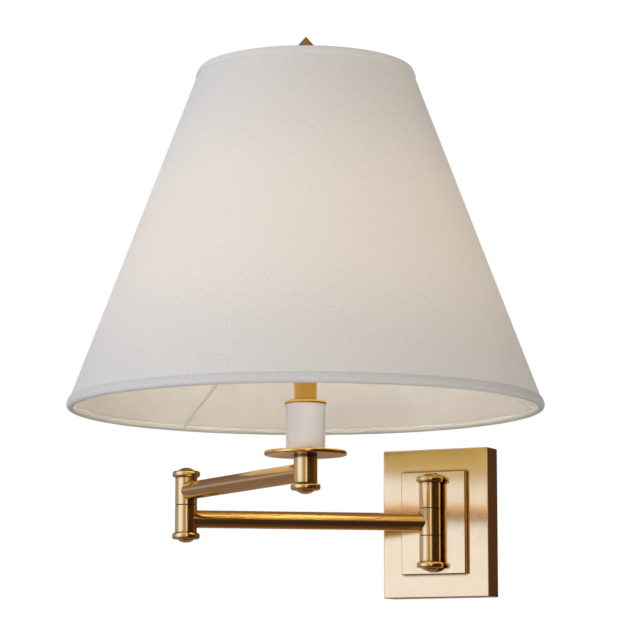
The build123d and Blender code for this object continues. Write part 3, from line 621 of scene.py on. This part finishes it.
def finial_knob():
    """Turned finial: foot, waist, bead and a pointed cap."""
    low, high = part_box("finial")
    foot, tip = low.z, high.z
    widest = (high.x - low.x) / 2
    outline = [(radius * MM, foot + height * MM) for radius, height in FINIAL_FOOT]
    outline += arc((BEAD_AT[0] * MM, foot + BEAD_AT[1] * MM), BEAD_R, -75, 75, 8)
    outline += [(radius * MM, foot + height * MM) for radius, height in FINIAL_FLARE]
    outline.append((CAP_FLARE_R, tip - CAP_FLARE_DEPTH))
    outline += arc((widest - CAP_EDGE_R, tip - CAP_DEPTH), CAP_EDGE_R, -60, 48, 8)
    outline += [(0.9 * MM, tip - 0.75 * MM), (0.45 * MM, tip - 0.2 * MM), (0.0, tip)]
    return lathe("finial_knob", outline, HEAD_AXIS)


bulb = finish_piece(bulb_envelope(), MATERIALS["bulb_glass"], "lamp_head", "bulb_glass", "bulb_glass")
bulb.visible_glossy = False
knob = finish_piece(finial_knob(), MATERIALS["brass_hinge"], "lamp_head", "brass_hinge", "finial")
sharpen(knob, 35)

# --- Stage, light and camera ----------------------------------------------------------------------

FLOOR_Z, FLOOR_R, FLOOR_SIDES = -2.5, 60.0, 180
FLOOR_DARK, FLOOR_LIGHT, FLOOR_GLOW = (0.80, 0.80, 0.80, 1), (0.83, 0.83, 0.83, 1), 0.72


def floor():
    """Plain pale floor well below the lamp, which hangs on a wall. It is seen, but throws no light back."""
    turns = [2 * math.pi * i / FLOOR_SIDES for i in range(FLOOR_SIDES)]
    rim = [(FLOOR_R * math.cos(turn), FLOOR_R * math.sin(turn), FLOOR_Z) for turn in turns]
    plane = mesh_object("floor", rim, [tuple(range(FLOOR_SIDES))], smooth=False)
    mat, tree, shader = new_material("floor_pale", Roughness=0.9, Emission_Strength=FLOOR_GLOW)
    colour = mix_colour(tree, noise_node(tree, object_coords(tree), scale=3.0), FLOOR_DARK, FLOOR_LIGHT)
    tree.links.new(colour, shader.inputs["Base Color"])
    tree.links.new(colour, shader.inputs["Emission Color"])
    plane.data.materials.append(mat)
    plane.visible_glossy = plane.visible_diffuse = plane.visible_transmission = False


def colour_ramp(tree, factor, stops):
    """Colour ramp from (position, (r, g, b)) stops."""
    ramp = add_node(tree, "ShaderNodeValToRGB", {"Fac": factor})
    elements = ramp.color_ramp.elements
    while len(elements) < len(stops):
        elements.new(0.5)
    for element, (place, colour) in zip(elements, stops):
        element.position = place
        element.color = (*colour, 1)
    return ramp.outputs["Color"]


# What everything but polished metal gets from the studio.
FILL_LIGHT = (0.34, 0.34, 0.34, 1)

# What polished metal sees of the studio, as rows of colours by bearing in degrees from straight out of
# the wall: a large white softbox to the left front, a narrow strip light to the right of the camera, a
# warm light over the right front and dim brown walls. The rows go up from straight down, and each one
# takes over from the row below it between its two heights on the unit sphere.
LEFT_SOFTBOX_LOW, LEFT_SOFTBOX_EYE = (0.75, 0.85, 2.0), (0.96, 1.19, 3.35)
LEFT_SOFTBOX_HIGH = (1.02, 1.18, 2.45)
STRIP_LOW, STRIP_EYE = (0.65, 0.62, 1.0), (1.05, 1.04, 1.8)
OVERHEAD_WARM = (0.80, 0.62, 0.34)
BEHIND_LOW, BEHIND_EYE, BEHIND_HIGH = (0.30, 0.21, 0.17), (0.20, 0.17, 0.19), (0.18, 0.13, 0.13)
BEHIND_DIM = (0.08, 0.045, 0.045)
GAP_DARK = (0.040, 0.024, 0.026)
BELOW, ABOVE = (0.10, 0.06, 0.08), (0.27, 0.18, 0.16)
STUDIO_ROWS = [
    (None, [(-180, BELOW), (180, BELOW)]),
    ((-0.97, -0.80), [
        (-180, BEHIND_LOW), (-150, (0.31, 0.215, 0.17)), (-120, (0.24, 0.20, 0.24)),
        (-92, (0.20, 0.19, 0.31)), (-60, (0.20, 0.15, 0.17)), (-20, (0.16, 0.10, 0.08)),
        (20, (0.07, 0.04, 0.03)), (45, GAP_DARK), (100, GAP_DARK), (150, BEHIND_DIM), (166, BEHIND_DIM),
        (180, BEHIND_LOW),
    ]),
    ((-0.62, -0.40), [
        (-180, BEHIND_LOW), (-120, (0.24, 0.20, 0.24)), (-92, (0.20, 0.19, 0.31)),
        (-76, (0.24, 0.21, 0.30)), (-60, (0.45, 0.46, 0.80)), (-46, LEFT_SOFTBOX_LOW),
        (-22, LEFT_SOFTBOX_LOW), (-8, (0.50, 0.50, 0.90)), (14, (0.32, 0.24, 0.22)),
        (26, (0.36, 0.28, 0.25)), (29, STRIP_LOW), (32, STRIP_LOW), (36, (0.12, 0.10, 0.11)),
        (40, GAP_DARK), (100, GAP_DARK), (120, (0.15, 0.08, 0.05)), (150, BEHIND_DIM), (166, BEHIND_DIM),
        (180, BEHIND_LOW),
    ]),
    ((-0.035, 0.02), [
        (-180, BEHIND_EYE), (-150, (0.26, 0.21, 0.24)), (-112, (0.31, 0.30, 0.50)),
        (-92, (0.48, 0.47, 0.80)), (-74, (0.37, 0.34, 0.46)), (-60, (0.66, 0.70, 1.30)),
        (-46, LEFT_SOFTBOX_EYE), (-22, LEFT_SOFTBOX_EYE), (-9, (0.72, 0.76, 1.45)),
        (3, (0.50, 0.40, 0.46)), (14, (0.42, 0.30, 0.27)), (24, (0.45, 0.33, 0.29)), (28, STRIP_EYE),
        (35, STRIP_EYE), (41, (0.40, 0.37, 0.55)), (46, (0.05, 0.026, 0.022)),
        (60, (0.020, 0.010, 0.008)), (78, (0.020, 0.012, 0.012)), (96, (0.045, 0.026, 0.03)),
        (112, (0.05, 0.018, 0.008)), (128, (0.22, 0.085, 0.03)), (148, (0.08, 0.042, 0.038)),
        (168, (0.07, 0.04, 0.035)), (180, BEHIND_EYE),
    ]),
    ((0.16, 0.22), [
        (-180, BEHIND_HIGH), (-134, (0.17, 0.11, 0.12)), (-97, (0.24, 0.235, 0.40)),
        (-70, (0.40, 0.37, 0.60)), (-50, LEFT_SOFTBOX_HIGH), (-24, LEFT_SOFTBOX_HIGH),
        (0, (0.55, 0.43, 0.36)), (30, OVERHEAD_WARM), (60, OVERHEAD_WARM), (90, (0.42, 0.35, 0.34)),
        (130, (0.18, 0.11, 0.10)), (180, BEHIND_HIGH),
    ]),
    ((0.84, 0.94), [(-180, ABOVE), (180, ABOVE)]),
]


def world():
    """White to the camera. Polished metal sees the studio's rows of colours, and the rest an even fill."""
    scene_world = bpy.data.worlds.new("studio")
    bpy.context.scene.world = scene_world
    scene_world.use_nodes = True
    tree = scene_world.node_tree
    tree.nodes.clear()
    seen = add_node(tree, "ShaderNodeTexCoord").outputs["Generated"]
    way = add_node(tree, "ShaderNodeSeparateXYZ", {0: seen})
    outward = math_node(tree, "MULTIPLY", way.outputs["Y"], -1.0)
    bearing = math_node(tree, "ARCTAN2", way.outputs["X"], outward)
    place = remap(tree, bearing, -math.pi, math.pi)
    studio = None
    for fade, stops in STUDIO_ROWS:
        row = colour_ramp(tree, place, [((degrees + 180) / 360, colour) for degrees, colour in stops])
        studio = mix_colour(tree, remap(tree, way.outputs["Z"], *fade), studio, row) if fade else row
    path = add_node(tree, "ShaderNodeLightPath")
    light = mix_colour(tree, path.outputs["Is Glossy Ray"], FILL_LIGHT, studio)
    colour = mix_colour(tree, path.outputs["Is Camera Ray"], light, (1, 1, 1, 1))
    back = add_node(tree, "ShaderNodeBackground", {"Color": colour, "Strength": 1.0})
    out = add_node(tree, "ShaderNodeOutputWorld")
    tree.links.new(back.outputs[0], out.inputs["Surface"])


SOFTBOX_DISTANCE = 2.6


def softbox(name, azimuth, elevation, width, height, power, colour):
    """Area light aimed at the lamp from an azimuth (0 is straight out from the wall) and an elevation."""
    light = bpy.data.lights.new(name, "AREA")
    light.shape = "RECTANGLE"
    light.size, light.size_y = width, height
    light.energy = power
    light.color = colour
    lamp = bpy.data.objects.new(name, light)
    a, e = math.radians(azimuth), math.radians(elevation)
    way = Vector((math.sin(a) * math.cos(e), -math.cos(a) * math.cos(e), math.sin(e)))
    target = Vector((0, HEAD_AXIS.y / 2, 0.1))
    lamp.location = target + way * SOFTBOX_DISTANCE
    lamp.rotation_euler = way.to_track_quat("Z", "Y").to_euler()
    lamp.visible_camera = False
    lamp.visible_glossy = False
    bpy.context.scene.collection.objects.link(lamp)


# The camera's place is measured from the head's axis at the height of the arms.
CAMERA_AZIMUTH, CAMERA_PITCH = math.radians(25.4), math.radians(8.292)
CAMERA_RIGHT, CAMERA_BACK, CAMERA_DOWN = 0.01055, 1.9711, 0.15305
SENSOR_WIDTH, LENS = 36.0, 152.1


def camera():
    """Level with the floor below the lamp, to the right of it, and tilted up."""
    right = Vector((math.cos(CAMERA_AZIMUTH), math.sin(CAMERA_AZIMUTH), 0))
    ahead = Vector((-math.sin(CAMERA_AZIMUTH), math.cos(CAMERA_AZIMUTH), 0))
    data = bpy.data.cameras.new("camera")
    data.sensor_width = SENSOR_WIDTH
    data.lens = LENS
    data.clip_start, data.clip_end = 0.05, 100.0
    cam = bpy.data.objects.new("camera", data)
    base = Vector((HEAD_AXIS.x, HEAD_AXIS.y, 0.0))
    cam.location = base + right * CAMERA_RIGHT - ahead * CAMERA_BACK + Vector((0, 0, -CAMERA_DOWN))
    cam.rotation_euler = (math.pi / 2 + CAMERA_PITCH, 0, CAMERA_AZIMUTH)
    bpy.context.scene.collection.objects.link(cam)
    bpy.context.scene.camera = cam


floor()
world()
softbox("left_softbox", -52, 20, 2.2, 2.2, 26.3, (0.72, 0.83, 1.0))
softbox("right_softbox", 96, 5, 2.2, 2.2, 6.0, (1.0, 0.75, 0.37))
softbox("low_softbox", 18, -14, 1.8, 0.9, 22.0, (1.0, 0.92, 0.915))
camera()
bpy.context.scene.view_settings.view_transform = "Standard"
